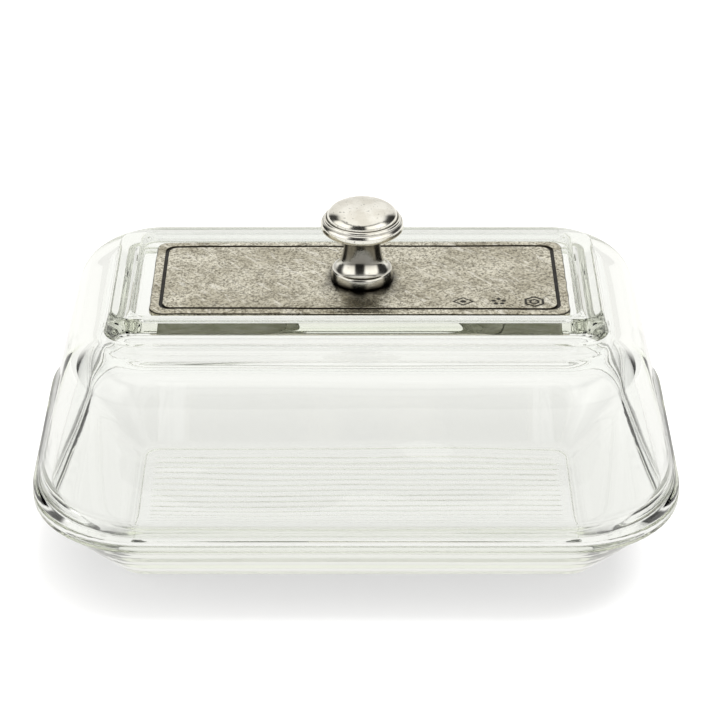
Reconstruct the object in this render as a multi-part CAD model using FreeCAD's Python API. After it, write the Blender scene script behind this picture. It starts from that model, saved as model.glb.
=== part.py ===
import FreeCAD, Part

import math
import os

# Glass butter dish with a lift-off glass cover and a turned metal knob on a metal top plate.
# Millimetres. X runs along the length, Y across it and Z up; the origin is the middle of the foot,
# on the surface that the dish stands on. Horizontal outlines are rounded rectangles.

# ---- rim, where the cover sits on the dish ----
RIM_LENGTH = 185.0            # outer size of the dish rim along X
RIM_WIDTH = 121.0             # outer size of the dish rim along Y
RIM_CORNER = 34.0             # outer corner radius of the rim
RIM_ROUND = 0.8               # bevel that stands for the rounding of the rim's outer edges
LAND_WIDTH = 3.3              # flat land that carries the cover

# ---- dish ----
DISH_HEIGHT = 26.5            # table to the rim land
DISH_LIP_HEIGHT = 3.3         # upright band round the rim
DISH_LIP_STEP = 1.6           # band stands this far out from the flared wall
DISH_FLARE_X = 23.5           # foot outline lies this far inside the rim at each end
DISH_FLARE_Y = 24.0           # and at each side
FOOT_CORNER = 8.0             # corner radius of the foot outline
FOOT_ROUND = 1.2              # bevel where the foot meets the flared wall
LEDGE_DEPTH = 3.5             # inner ledge below the land
LEDGE_WIDTH = 3.5             # and its width
FLOOR_THICKNESS = 4.2         # table to the inner floor
FLOOR_INSET = 4.5             # inner floor lies this far inside the foot outline
HEEL_ROUND = 1.4              # width of the bevel between inner floor and wall; it is half as high
FOOT_RING_WIDTH = 3.6         # flat ring that the dish stands on
FOOT_RECESS = 0.8             # underside is this much higher inside the ring
RIB_PITCH = 3.1               # spacing of the fine ribs under the floor
RIB_HEIGHT = 0.5              # how far a rib stands down into the recess
RIB_RADIUS = 1.2              # its round section

# ---- cover ----
COVER_INSET = 0.1             # cover rim is this much smaller than the dish rim all round
BEAD_HEIGHT = 1.8             # upright bead round the foot of the cover
BEAD_STEP = 2.1               # bead stands this far out from the wall
BEAD_SLOPE = 2.7              # height over which the bead runs into the wall
COVER_WALL_HEIGHT = 46.6      # rim land to the level where walls and top would meet unrounded
COVER_DRAFT_X = 10.6          # lean of the end walls over that height
COVER_DRAFT_Y = 10.2          # lean of the long walls
WALL_CORNER = 32.0            # corner radius at the foot of the wall
SHOULDER_CORNER = 23.0        # corner radius where walls and top would meet
SHOULDER_REACH = 8.6          # the rounded shoulder runs this far along the wall and along the top
SHOULDER_TENSION = 0.60       # 0.55 is nearly a circular rounding, more is squarer
SHOULDER_STEPS = 5
TOP_FLAT_X = 9.2              # top, from the end walls to the platform
TOP_FLAT_Y = 18.5             # and from the long walls
TOP_RISE = 0.4                # the top rises this much on its way to the platform
PLATFORM_HEIGHT = 6.0         # the platform's foot to its top
PLATFORM_FLARE = 1.8          # its foot stands out this far from its top edge
PLATFORM_CORNER = 6.0         # corner radius of its top edge
PLATFORM_ROUND = 0.9          # bevel of its top edge
COVER_GLASS = 4.0             # thickness of the cover's walls and top
REGISTER_DEPTH = 2.0          # locating lip reaches this far down inside the dish rim
REGISTER_GAP = 0.7            # clearance between the lip and the dish
REGISTER_THICKNESS = 2.0      # thickness of the lip
REGISTER_ROUND = 0.4          # bevel of its lower edge

# ---- recess in the platform, plate and bond ----
FRAME_X = 6.7                 # glass frame round the recess, at the ends
FRAME_Y = 2.8                 # and at the sides
RECESS_CORNER = 4.0
RECESS_DEPTH = 2.8
PLATE_GAP_X = 3.0             # recess is this much longer than the plate at each end
PLATE_GAP_Y = 2.4             # and wider at each side
PLATE_THICKNESS = 1.8
PLATE_CORNER = 3.0
PLATE_SHIFT_X = 1.0           # plate is bonded a little off the middle of the recess
PLATE_SHIFT_Y = -0.9
GROOVE_INSET = 3.2            # engraved border line, from the plate's edge
GROOVE_WIDTH = 0.8
GROOVE_DEPTH = 0.4
GROOVE_CORNER = 3.0
BOND_THICKNESS = 0.3
BOND_MARGIN = 2.0             # both bond pads stay this far inside the plate's edges
BOND_LEFT_SHARE = 0.34        # length of the pad at the -X end, as a share of the plate's length
BOND_RIGHT_SHARE = 0.25       # and of the pad at the +X end; the screw lies between the two

# ---- knob and its screw ----
KNOB_SHIFT_X = 0.7            # knob axis, from the middle of the plate
KNOB_FOOT_RADIUS = 8.9
KNOB_FOOT_TAPER = 0.4
KNOB_FOOT_HEIGHT = 3.2
KNOB_FOOT_ROUND = 0.5
KNOB_ROUND_MIDDLE = 0.3       # middle of that rounding, in from the corner, as a share of its radius
KNOB_NECK_RADIUS = 5.25
KNOB_NECK_HEIGHT = 9.0        # narrowest point of the waist, above the plate
KNOB_COVE_OUT = 0.2           # middle of the cove over the foot: share of the way out from the neck
KNOB_COVE_UP = 0.35           # and share of the way up from the foot to the neck
KNOB_COLLAR_RADIUS = 5.9      # waist where it meets the cap
KNOB_COLLAR_HEIGHT = 13.2
KNOB_WAIST_OUT = 0.3          # half way up from neck to collar: share of the way out to the collar
KNOB_CAP_RADIUS = 11.8        # widest point of the bead round the cap
KNOB_BEAD_HALF = 1.9          # half height of that bead
KNOB_BEAD_HEIGHT = 17.3       # middle of the bead, above the plate
KNOB_BEAD_DEPTH = 1.6         # bead stands out this far from its roots
KNOB_DOME_RADIUS = 10.0
KNOB_DOME_SIDE = 1.2          # middle of the dome's steep side, above the bead; it ends at twice this
KNOB_DOME_LEAN = 0.96         # radius at that middle, as a share of the dome's radius
KNOB_DOME_EDGE = 8.0          # radius where the dome turns into its crown
KNOB_HEIGHT = 23.1            # plate to the top of the dome
SCREW_RADIUS = 1.5
SCREW_LENGTH = 10.0
SCREW_HEAD_RADIUS = 2.8
SCREW_HEAD_HEIGHT = 1.4
SCREW_HOLE_GAP = 0.1          # clearance of the shank in the plate
SCREW_TIP_GAP = 0.8           # free depth of the threaded hole beyond the tip
SCREW_SLOT_WIDTH = 0.7
SCREW_SLOT_DEPTH = 0.6

SMALLEST_CORNER = 0.5         # an inner corner never gets tighter than this
OVERLAP = 1.0                 # cutting and joining solids run this far past the faces they meet

# ---- levels and places that follow from the sizes above ----
LAND_Z = DISH_HEIGHT
SHOULDER_Z = LAND_Z + COVER_WALL_HEIGHT
PLATFORM_FOOT_Z = SHOULDER_Z + TOP_RISE
PLATFORM_Z = PLATFORM_FOOT_Z + PLATFORM_HEIGHT
RECESS_Z = PLATFORM_Z - RECESS_DEPTH
PLATE_Z = RECESS_Z + BOND_THICKNESS
PLATE_TOP_Z = PLATE_Z + PLATE_THICKNESS
KNOB_X = PLATE_SHIFT_X + KNOB_SHIFT_X
KNOB_Y = PLATE_SHIFT_Y


class Ring:
    """A rounded rectangle at one height, centred on the Z axis."""

    def __init__(self, half_x, half_y, corner, z):
        self.half_x = half_x
        self.half_y = half_y
        self.corner = max(corner, SMALLEST_CORNER)
        self.z = z

    def inset(self, distance, drop=0.0):
        return Ring(self.half_x - distance, self.half_y - distance, self.corner - distance, self.z - drop)

    def at(self, z):
        return Ring(self.half_x, self.half_y, self.corner, z)

    def wire(self):
        edges = []
        quarter = math.pi / 2
        for turn in range(4):
            swapped = turn % 2 == 1
            along, across = (self.half_y, self.half_x) if swapped else (self.half_x, self.half_y)
            spin = FreeCAD.Rotation(FreeCAD.Vector(0, 0, 1), 90 * turn)

            def place(x, y):
                return spin.multVec(FreeCAD.Vector(x, y, self.z))

            centre_x = along - self.corner
            centre_y = across - self.corner
            middle = self.corner * math.sin(quarter / 2)
            start = place(along, -centre_y)
            turn_start = place(along, centre_y)
            turn_middle = place(centre_x + middle, centre_y + middle)
            turn_end = place(centre_x, across)
            edges.append(Part.LineSegment(start, turn_start).toShape())
            edges.append(Part.Arc(turn_start, turn_middle, turn_end).toShape())
        return Part.Wire(edges)


def stack(rings):
    """Closed solid with straight walls from each ring to the next."""
    return Part.makeLoft([ring.wire() for ring in rings], True, True)


def block(ring, height):
    """Upright block on a ring."""
    return Part.Face(ring.wire()).extrude(FreeCAD.Vector(0, 0, height))


def blend_rings(parts):
    """One ring from several, as (share, ring) with shares that add up to 1."""
    def total(size):
        return sum(share * getattr(ring, size) for share, ring in parts)

    return Ring(total("half_x"), total("half_y"), total("corner"), total("z"))


def shoulder_rings(foot_ring, edge, top, reach):
    """Rings that round off the edge between a leaning wall and a nearly level top."""
    down = reach / (edge.z - foot_ring.z)
    inward = reach / (edge.half_x - top.half_x)
    start = blend_rings([(1 - down, edge), (down, foot_ring)])
    end = blend_rings([(1 - inward, edge), (inward, top)])
    first = blend_rings([(1 - SHOULDER_TENSION, start), (SHOULDER_TENSION, edge)])
    second = blend_rings([(1 - SHOULDER_TENSION, end), (SHOULDER_TENSION, edge)])
    rings = []
    for step in range(SHOULDER_STEPS + 1):
        t = step / SHOULDER_STEPS
        rings.append(blend_rings([
            ((1 - t) ** 3, start), (3 * t * (1 - t) ** 2, first),
            (3 * t ** 2 * (1 - t), second), (t ** 3, end),
        ]))
    return rings


# ---- outlines that several pieces share ----
rim = Ring(RIM_LENGTH / 2, RIM_WIDTH / 2, RIM_CORNER, LAND_Z)
rim_opening = rim.inset(LAND_WIDTH)
foot = Ring(rim.half_x - DISH_FLARE_X, rim.half_y - DISH_FLARE_Y, FOOT_CORNER, 0.0)
cover_rim = rim.inset(COVER_INSET)
wall_foot = cover_rim.inset(BEAD_STEP)
wall_start = Ring(wall_foot.half_x, wall_foot.half_y, WALL_CORNER, LAND_Z + BEAD_HEIGHT + BEAD_SLOPE)
shoulder = Ring(
    wall_foot.half_x - COVER_DRAFT_X, wall_foot.half_y - COVER_DRAFT_Y,
    SHOULDER_CORNER, SHOULDER_Z,
)
top_flat = shoulder.inset(TOP_FLAT_X).at(SHOULDER_Z + TOP_RISE / 2)
platform_foot = Ring(
    shoulder.half_x - TOP_FLAT_X, shoulder.half_y - TOP_FLAT_Y,
    PLATFORM_CORNER + PLATFORM_FLARE, PLATFORM_FOOT_Z,
)
platform = platform_foot.inset(PLATFORM_FLARE).at(PLATFORM_Z)
recess = Ring(platform.half_x - FRAME_X, platform.half_y - FRAME_Y, RECESS_CORNER, RECESS_Z)
plate = Ring(recess.half_x - PLATE_GAP_X, recess.half_y - PLATE_GAP_Y, PLATE_CORNER, PLATE_Z)
plate_middle = FreeCAD.Vector(PLATE_SHIFT_X, PLATE_SHIFT_Y, 0)


def make_base_dish():
    lip_foot_z = DISH_HEIGHT - DISH_LIP_HEIGHT
    outside = stack([
        foot.inset(FOOT_ROUND),
        foot.at(FOOT_ROUND),
        rim.inset(DISH_LIP_STEP).at(lip_foot_z - DISH_LIP_STEP / 2),
        rim.at(lip_foot_z),
        rim.at(DISH_HEIGHT - RIM_ROUND),
        rim.inset(RIM_ROUND).at(DISH_HEIGHT),
    ])
    ledge = rim_opening.inset(LEDGE_WIDTH).at(DISH_HEIGHT - LEDGE_DEPTH)
    floor = foot.inset(FLOOR_INSET).at(FLOOR_THICKNESS)
    bowl = stack([
        floor,
        floor.inset(-HEEL_ROUND).at(FLOOR_THICKNESS + HEEL_ROUND / 2),
        ledge,
        ledge.at(DISH_HEIGHT + OVERLAP),
    ])
    rebate = block(rim_opening.at(DISH_HEIGHT - LEDGE_DEPTH), LEDGE_DEPTH + OVERLAP)
    underside = foot.inset(FOOT_RING_WIDTH).at(-OVERLAP)
    hollow_foot = block(underside, OVERLAP + FOOT_RECESS)
    dish = outside.cut(bowl).cut(rebate).cut(hollow_foot)
    return dish.fuse(floor_ribs(underside)).removeSplitter()


def floor_ribs(underside):
    """Round ribs along X on the recessed underside, each with its lower edge above the table."""
    length = 2 * (underside.half_x - RIB_PITCH)
    count = int(2 * (underside.half_y - RIB_PITCH) / RIB_PITCH) + 1
    axis_z = FOOT_RECESS - RIB_HEIGHT + RIB_RADIUS
    ribs = []
    for index in range(count):
        y = (index - (count - 1) / 2) * RIB_PITCH
        start = FreeCAD.Vector(-length / 2, y, axis_z)
        ribs.append(Part.makeCylinder(RIB_RADIUS, length, start, FreeCAD.Vector(1, 0, 0)))
    return ribs


def make_glass_cover():
    bead = cover_rim.at(LAND_Z + BEAD_HEIGHT)
    outside = stack(
        [cover_rim.inset(RIM_ROUND), cover_rim.at(LAND_Z + RIM_ROUND), bead, wall_start]
        + shoulder_rings(wall_start, shoulder, top_flat, SHOULDER_REACH)
        + [platform_foot, platform.at(PLATFORM_Z - PLATFORM_ROUND), platform.inset(PLATFORM_ROUND)]
    )
    register = rim_opening.inset(REGISTER_GAP)
    lip = stack([
        register.inset(REGISTER_ROUND).at(LAND_Z - REGISTER_DEPTH),
        register.at(LAND_Z - REGISTER_DEPTH + REGISTER_ROUND),
        register.at(LAND_Z + BEAD_HEIGHT),
    ])
    mouth = register.inset(REGISTER_THICKNESS)
    ceiling = platform.inset(COVER_GLASS).at(RECESS_Z - COVER_GLASS)
    inner_wall = wall_start.inset(COVER_GLASS)
    inner_shoulder = shoulder.inset(COVER_GLASS, COVER_GLASS)
    inner_top = top_flat.inset(COVER_GLASS, COVER_GLASS)
    hollow = stack(
        [mouth.at(LAND_Z - REGISTER_DEPTH - OVERLAP), mouth.at(LAND_Z), inner_wall]
        + shoulder_rings(inner_wall, inner_shoulder, inner_top, SHOULDER_REACH - COVER_GLASS / 2)
        + [platform_foot.inset(COVER_GLASS, COVER_GLASS), ceiling]
    )
    pocket = block(recess, RECESS_DEPTH + OVERLAP)
    return outside.fuse(lip).cut(hollow).cut(pocket).removeSplitter()


def bond_pad(share, side):
    """Thin pad under one end of the plate; side is -1 for the -X end and 1 for the +X end."""
    length = 2 * plate.half_x * share
    width = 2 * (plate.half_y - BOND_MARGIN)
    end_x = side * (plate.half_x - BOND_MARGIN)
    pad = Part.makeBox(length, width, BOND_THICKNESS)
    pad.translate(FreeCAD.Vector(min(end_x, end_x - side * length), -width / 2, RECESS_Z) + plate_middle)
    return pad


def make_left_adhesive():
    return bond_pad(BOND_LEFT_SHARE, -1)


def make_right_adhesive():
    return bond_pad(BOND_RIGHT_SHARE, 1)


def make_top_plate():
    line_z = PLATE_TOP_Z - GROOVE_DEPTH
    line_outer = Ring(
        plate.half_x - GROOVE_INSET + GROOVE_WIDTH / 2, plate.half_y - GROOVE_INSET + GROOVE_WIDTH / 2,
        GROOVE_CORNER + GROOVE_WIDTH / 2, line_z,
    )
    groove = block(line_outer, GROOVE_DEPTH + OVERLAP)
    groove = groove.cut(block(line_outer.inset(GROOVE_WIDTH), GROOVE_DEPTH + OVERLAP))
    blank = block(plate, PLATE_THICKNESS).cut(groove)
    blank.translate(plate_middle)
    return blank.cut(screw_head()).cut(screw_shank(SCREW_RADIUS + SCREW_HOLE_GAP))


def screw_place():
    return FreeCAD.Vector(KNOB_X, KNOB_Y, PLATE_Z)


def screw_head():
    return Part.makeCone(SCREW_HEAD_RADIUS, SCREW_RADIUS, SCREW_HEAD_HEIGHT, screw_place())


def screw_shank(radius, extra=0.0):
    return Part.makeCylinder(radius, SCREW_LENGTH + extra, screw_place())


def make_knob():
    """Turned knob: foot, waist, beaded cap and dome, bored from below for the screw."""
    def point(radius, height):
        return FreeCAD.Vector(radius, 0, height)

    def line(start, end):
        return Part.LineSegment(start, end).toShape()

    def arc(start, middle, end):
        return Part.Arc(start, middle, end).toShape()

    foot_top_radius = KNOB_FOOT_RADIUS - KNOB_FOOT_TAPER
    foot_side = point(foot_top_radius, KNOB_FOOT_HEIGHT - KNOB_FOOT_ROUND)
    edge_in = KNOB_FOOT_ROUND * KNOB_ROUND_MIDDLE
    foot_edge = point(foot_top_radius - edge_in, KNOB_FOOT_HEIGHT - edge_in)
    foot_top = point(foot_top_radius - KNOB_FOOT_ROUND, KNOB_FOOT_HEIGHT)
    neck = point(KNOB_NECK_RADIUS, KNOB_NECK_HEIGHT)
    cove = point(
        KNOB_NECK_RADIUS + (foot_top.x - KNOB_NECK_RADIUS) * KNOB_COVE_OUT,
        KNOB_FOOT_HEIGHT + (KNOB_NECK_HEIGHT - KNOB_FOOT_HEIGHT) * KNOB_COVE_UP,
    )
    collar = point(KNOB_COLLAR_RADIUS, KNOB_COLLAR_HEIGHT)
    waist = point(
        KNOB_NECK_RADIUS + (KNOB_COLLAR_RADIUS - KNOB_NECK_RADIUS) * KNOB_WAIST_OUT,
        (KNOB_NECK_HEIGHT + KNOB_COLLAR_HEIGHT) / 2,
    )
    bead_low = point(KNOB_CAP_RADIUS - KNOB_BEAD_DEPTH, KNOB_BEAD_HEIGHT - KNOB_BEAD_HALF)
    bead_out = point(KNOB_CAP_RADIUS, KNOB_BEAD_HEIGHT)
    bead_high = point(KNOB_CAP_RADIUS - KNOB_BEAD_DEPTH, KNOB_BEAD_HEIGHT + KNOB_BEAD_HALF)
    dome_foot = point(KNOB_DOME_RADIUS, bead_high.z)
    dome_side = point(KNOB_DOME_RADIUS * KNOB_DOME_LEAN, bead_high.z + KNOB_DOME_SIDE)
    dome_turn = point(KNOB_DOME_EDGE, bead_high.z + KNOB_DOME_SIDE * 2)
    crown_rise = KNOB_HEIGHT - dome_turn.z
    crown_radius = (KNOB_DOME_EDGE ** 2 + crown_rise ** 2) / (2 * crown_rise)
    crown_angle = math.asin(KNOB_DOME_EDGE / crown_radius) / 2
    crown = point(
        crown_radius * math.sin(crown_angle),
        KNOB_HEIGHT - crown_radius * (1 - math.cos(crown_angle)),
    )
    top = point(0, KNOB_HEIGHT)
    bottom = point(0, 0)
    outline = Part.Wire([
        line(bottom, point(KNOB_FOOT_RADIUS, 0)),
        line(point(KNOB_FOOT_RADIUS, 0), foot_side),
        arc(foot_side, foot_edge, foot_top),
        arc(foot_top, cove, neck),
        arc(neck, waist, collar),
        line(collar, bead_low),
        arc(bead_low, bead_out, bead_high),
        line(bead_high, dome_foot),
        arc(dome_foot, dome_side, dome_turn),
        arc(dome_turn, crown, top),
        line(top, bottom),
    ])
    knob = Part.Face(outline).revolve(FreeCAD.Vector(0, 0, 0), FreeCAD.Vector(0, 0, 1), 360)
    knob.translate(FreeCAD.Vector(KNOB_X, KNOB_Y, PLATE_TOP_Z))
    return knob.cut(screw_shank(SCREW_RADIUS, SCREW_TIP_GAP))


def make_knob_screw():
    slot = Part.makeBox(2 * SCREW_HEAD_RADIUS + OVERLAP, SCREW_SLOT_WIDTH, SCREW_SLOT_DEPTH + OVERLAP)
    slot_corner = FreeCAD.Vector(-SCREW_HEAD_RADIUS - OVERLAP / 2, -SCREW_SLOT_WIDTH / 2, -OVERLAP)
    slot.translate(slot_corner + screw_place())
    return screw_head().fuse(screw_shank(SCREW_RADIUS)).cut(slot).removeSplitter()


PIECES = {
    "base_dish": make_base_dish,
    "glass_cover": make_glass_cover,
    "left_adhesive": make_left_adhesive,
    "right_adhesive": make_right_adhesive,
    "top_plate": make_top_plate,
    "knob": make_knob,
    "knob_screw": make_knob_screw,
}

os.makedirs("parts", exist_ok=True)
for name, make in PIECES.items():
    shape = make()
    if not shape.isValid() or len(shape.Solids) != 1:
        raise SystemExit(name + " is not one valid solid")
    shape.Solids[0].exportStep(os.path.join("parts", name + ".step"))
    box = shape.BoundBox
    print(name, "volume %.1f mm3" % shape.Volume, "z %.2f to %.2f" % (box.ZMin, box.ZMax))
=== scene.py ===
import math
import random

import bmesh
import bpy
import numpy as np
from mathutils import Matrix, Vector, noise


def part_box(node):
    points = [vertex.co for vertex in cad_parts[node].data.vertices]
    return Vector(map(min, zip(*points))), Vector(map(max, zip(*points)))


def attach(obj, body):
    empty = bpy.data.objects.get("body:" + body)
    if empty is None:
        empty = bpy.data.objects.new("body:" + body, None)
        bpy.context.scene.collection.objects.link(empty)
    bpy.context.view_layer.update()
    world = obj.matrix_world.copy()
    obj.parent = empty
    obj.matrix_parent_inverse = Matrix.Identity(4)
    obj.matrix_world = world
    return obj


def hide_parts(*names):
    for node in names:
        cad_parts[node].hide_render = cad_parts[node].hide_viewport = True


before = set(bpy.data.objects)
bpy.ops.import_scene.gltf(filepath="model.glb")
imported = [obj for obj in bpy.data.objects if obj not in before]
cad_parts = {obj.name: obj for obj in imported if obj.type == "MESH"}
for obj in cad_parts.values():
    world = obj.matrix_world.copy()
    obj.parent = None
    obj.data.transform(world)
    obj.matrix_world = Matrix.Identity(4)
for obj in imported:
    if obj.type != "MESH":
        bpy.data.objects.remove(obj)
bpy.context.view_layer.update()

# A glass butter dish with a lift-off glass cover, a pewter plate bonded into the cover's top and a
# turned pewter knob. Shapes are worked out in millimetres in the frame's axes and stored in metres.
MM = 0.001


def box_of(node):
    """The lowest and the highest corner of a piece of the design, in millimetres."""
    return [np.array(corner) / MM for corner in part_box(node)]


RIM_X, RIM_Y, LAND_Z = box_of("base_dish")[1]
cover_low, cover_high = box_of("glass_cover")
plate_low, plate_high = box_of("top_plate")
knob_low, knob_high = box_of("knob")
left_bond = box_of("left_adhesive")
right_bond = box_of("right_adhesive")
PLATE_CENTRE = (plate_low + plate_high) / 2
PLATE_TOP_Z = plate_high[2]
KNOB_CENTRE = (knob_low + knob_high) / 2
CLEARANCE = 0.02              # keeps two touching surfaces from lying in one plane
BOND_SINK = 0.06              # the bond pads reach this far into the glass, so that it wets them
RECESS_Z = left_bond[0][2] + BOND_SINK
ROUND_TENSION = 0.55          # makes a cubic rounding nearly circular
ROUND_STEP = 0.25             # a rounding has about one row per this much of its reach
RUN_SHARE = 0.49              # a rounding takes up at most this share of a run


# ---------------------------------------------------------------- mesh helpers

def rounded_rectangle(half_x, half_y, corner, counts):
    """Points of a rounded rectangle, anticlockwise from the lower end of its +X side."""
    along_x, along_y, round_corner = counts
    centre_x = half_x - corner
    centre_y = half_y - corner
    side_x = centre_x * (1 - 2 * np.arange(along_x) / along_x)
    side_y = centre_y * (2 * np.arange(along_y) / along_y - 1)
    turn = np.arange(round_corner) / round_corner * math.pi / 2
    flat_x = np.full(along_y, half_x)
    flat_y = np.full(along_x, half_y)
    parts = [
        (flat_x, side_y),
        (centre_x + corner * np.cos(turn), centre_y + corner * np.sin(turn)),
        (side_x, flat_y),
        (-centre_x - corner * np.sin(turn), centre_y + corner * np.cos(turn)),
        (-flat_x, -side_y),
        (-centre_x - corner * np.cos(turn), -centre_y - corner * np.sin(turn)),
        (-side_x, -flat_y),
        (centre_x + corner * np.sin(turn), -centre_y - corner * np.cos(turn)),
    ]
    return np.concatenate([np.column_stack(part) for part in parts])


def circle(radius, count):
    turn = np.arange(count) / count * 2 * math.pi
    return np.column_stack([radius * np.cos(turn), radius * np.sin(turn)])


def profile_length(step):
    """Length of a step between two profile rows (half_x, half_y, corner, z)."""
    return math.hypot(max(abs(step[0]), abs(step[1])), step[3])


def rounded_profile(points, spacing):
    """Rows (half_x, half_y, corner, z) along straight runs, with each point rounded off by its
    fifth value, which is how far the rounding reaches along the two runs."""
    knots = [np.array(point[:4], dtype=float) for point in points]
    rows = [knots[0]]

    def run_to(end):
        start = rows[-1]
        count = max(1, math.ceil(profile_length(end - start) / spacing))
        for index in range(1, count + 1):
            rows.append(start + (end - start) * index / count)

    for before, knot, after, point in zip(knots, knots[1:], knots[2:], points[1:]):
        shortest = min(profile_length(before - knot), profile_length(after - knot))
        reach = min(point[4], RUN_SHARE * shortest)
        if reach <= 0:
            run_to(knot)
            continue
        start = knot + (before - knot) * reach / profile_length(before - knot)
        end = knot + (after - knot) * reach / profile_length(after - knot)
        run_to(start)
        steps = min(9, max(4, math.ceil(reach / ROUND_STEP)))
        for index in range(1, steps + 1):
            t = index / steps
            first = start + (knot - start) * ROUND_TENSION
            second = end + (knot - end) * ROUND_TENSION
            rows.append(
                start * (1 - t) ** 3 + first * 3 * t * (1 - t) ** 2
                + second * 3 * t ** 2 * (1 - t) + end * t ** 3
            )
    run_to(knots[-1])
    return rows


def cap_rows(row, count):
    """Rows that shrink a ring evenly to nearly nothing, from the middle outwards."""
    rows = []
    for index in range(1, count):
        scaled = np.array(row, dtype=float)
        scaled[:3] *= index / count
        rows.append(scaled)
    return rows


def closed_mesh(name, rings, start, end):
    """A closed piece from rings of equal point count, with a middle point at each end."""
    count = len(rings[0])
    points = np.concatenate([*rings, [start, end]])
    first = len(points) - 2
    last = len(points) - 1
    ahead = np.roll(np.arange(count), -1)
    faces = []
    for row in range(len(rings) - 1):
        low = row * count
        high = low + count
        for index in range(count):
            faces.append((low + index, low + ahead[index], high + ahead[index], high + index))
    top = (len(rings) - 1) * count
    for index in range(count):
        faces.append((first, ahead[index], index))
        faces.append((last, top + index, top + ahead[index]))
    mesh = bpy.data.meshes.new(name)
    mesh.from_pydata([tuple(point * MM) for point in points], [], faces)
    work = bmesh.new()
    work.from_mesh(mesh)
    bmesh.ops.recalc_face_normals(work, faces=work.faces)
    work.to_mesh(mesh)
    work.free()
    mesh.shade_smooth()
    piece = bpy.data.objects.new(name, mesh)
    bpy.context.scene.collection.objects.link(piece)
    return piece


def lofted_piece(name, rows, counts):
    rings = []
    for half_x, half_y, corner, z in rows:
        outline = rounded_rectangle(half_x, half_y, min(corner, half_x, half_y), counts)
        rings.append(np.column_stack([outline, np.full(len(outline), z)]))
    return closed_mesh(name, rings, np.array([0, 0, rows[0][3]]), np.array([0, 0, rows[-1][3]]))


def coordinates(piece):
    """The piece's points in millimetres."""
    flat = np.empty(len(piece.data.vertices) * 3)
    piece.data.vertices.foreach_get("co", flat)
    return flat.reshape(-1, 3) / MM


def set_coordinates(piece, points):
    piece.data.vertices.foreach_set("co", (points * MM).ravel())
    piece.data.update()


def normals(piece):
    flat = np.empty(len(piece.data.vertices) * 3)
    piece.data.vertices.foreach_get("normal", flat)
    return flat.reshape(-1, 3)


def ripple(piece, sizes, height, seed, share=None):
    """Moves the surface in and out by smooth noise, with features of the given sizes."""
    points = coordinates(piece)
    scaled = points / np.array(sizes) + seed
    wave = np.array([noise.noise(Vector(point)) for point in scaled]) * height
    if share is not None:
        wave = wave * share
    set_coordinates(piece, points + normals(piece) * wave[:, None])


def store(piece, name, values):
    """A number per point that a material reads."""
    layer = piece.data.attributes.new(name, "FLOAT", "POINT")
    layer.data.foreach_set("value", np.asarray(values, dtype=np.float32))


def smoothstep(value, low, high):
    t = np.clip((value - low) / (high - low), 0, 1)
    return t * t * (3 - 2 * t)


# ---------------------------------------------------------------- glass
# An outline is (half_x, half_y, corner). A profile point adds its z and the reach of its rounding.

RIM_CORNER = 34.0
LAND_WIDTH = 3.3              # flat land that carries the cover
LEDGE_WIDTH = 3.5             # inner ledge below the land
LEDGE_DEPTH = 3.5
DISH_LIP_HEIGHT = 3.3         # upright band round the rim
DISH_LIP_STEP = 1.8           # it stands this far out from the flared wall
DISH_LIP_SLOPE = 0.9          # height over which it runs into the wall
DISH_FLARE_X = 23.5           # the foot lies this far inside the rim at each end
DISH_FLARE_Y = 24.0           # and at each side
FLOOR_Z = 4.2                 # the inner floor above the table
FLOOR_INSET = 3.8             # it lies this far inside the foot
HEEL_REACH = 3.0              # rounding between the inner floor and the wall
FOOT_CORNER = 8.0
FOOT_BEVEL = 0.9              # height of the rounding under the wall
FOOT_RING = (1.0, 3.5)        # the ring that the dish stands on, in from the foot outline
FOOT_RECESS = 0.8             # the underside is this much higher inside the ring
UNDERSIDE_INSET = 3.7
RIB_PITCH = 3.1
RIB_HEIGHT = 0.24
RIB_MARGIN = (2.6, 2.2)       # smooth border of the underside, at the ends and at the sides
RIB_FADE = (1.5, 0.8)         # the ribs fade out over this much

SEAT_GAP = 0.08               # keeps the cover's rim out of the plane of the land
BEAD_HEIGHT = 1.9             # upright bead round the foot of the cover
BEAD_STEP = 2.1               # it stands this far out from the wall
WALL_RISE = 4.4               # seat to the level where the bead has run into the wall
WALL_CORNER = 32.0
COVER_WALL_HEIGHT = 46.6      # land to the level where walls and top would meet unrounded
COVER_DRAFT_X = 10.6          # lean of the end walls over that height
COVER_DRAFT_Y = 10.2          # lean of the long walls
SHOULDER_CORNER = 23.0
SHOULDER_REACH = 8.6          # the rounded shoulder runs this far along the wall and along the top
SHOULDER_TENSION = 0.60       # squarer than a circular rounding
SHOULDER_STEPS = 14
TOP_FLAT_X = 9.2              # top, from the end walls to the platform
TOP_FLAT_Y = 18.5             # and from the long walls
TOP_RISE = 0.4                # the top rises this much on its way to the platform
PLATFORM_FLARE = 1.8          # the platform's foot stands out this far from its top edge
PLATFORM_CORNER = 6.0
FRAME_X = 6.7                 # glass frame round the recess, at the ends
FRAME_Y = 2.8                 # and at the sides
RECESS_CORNER = 4.0
COVER_GLASS = 4.0             # thickness of the cover's walls and top
STEP_CORNER = 4.0             # corner of the hollow below the platform's foot
CEILING_CORNER = 3.0          # and of its ceiling
LIP_INSET = 4.0               # outside of the locating lip, in from the rim
MOUTH_INSET = 6.0             # and its inside
EDGE_ROUND = 0.7


def inset(outline, distance, corner_loss=None):
    """The outline that lies a distance inside another; the corner may shrink by another amount."""
    half_x, half_y, corner = outline[:3]
    loss = distance if corner_loss is None else corner_loss
    return half_x - distance, half_y - distance, corner - loss


def blend(start, end, share):
    """The profile point that lies a share of the way from one to the other."""
    return tuple(first + (second - first) * share for first, second in zip(start, end))


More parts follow.
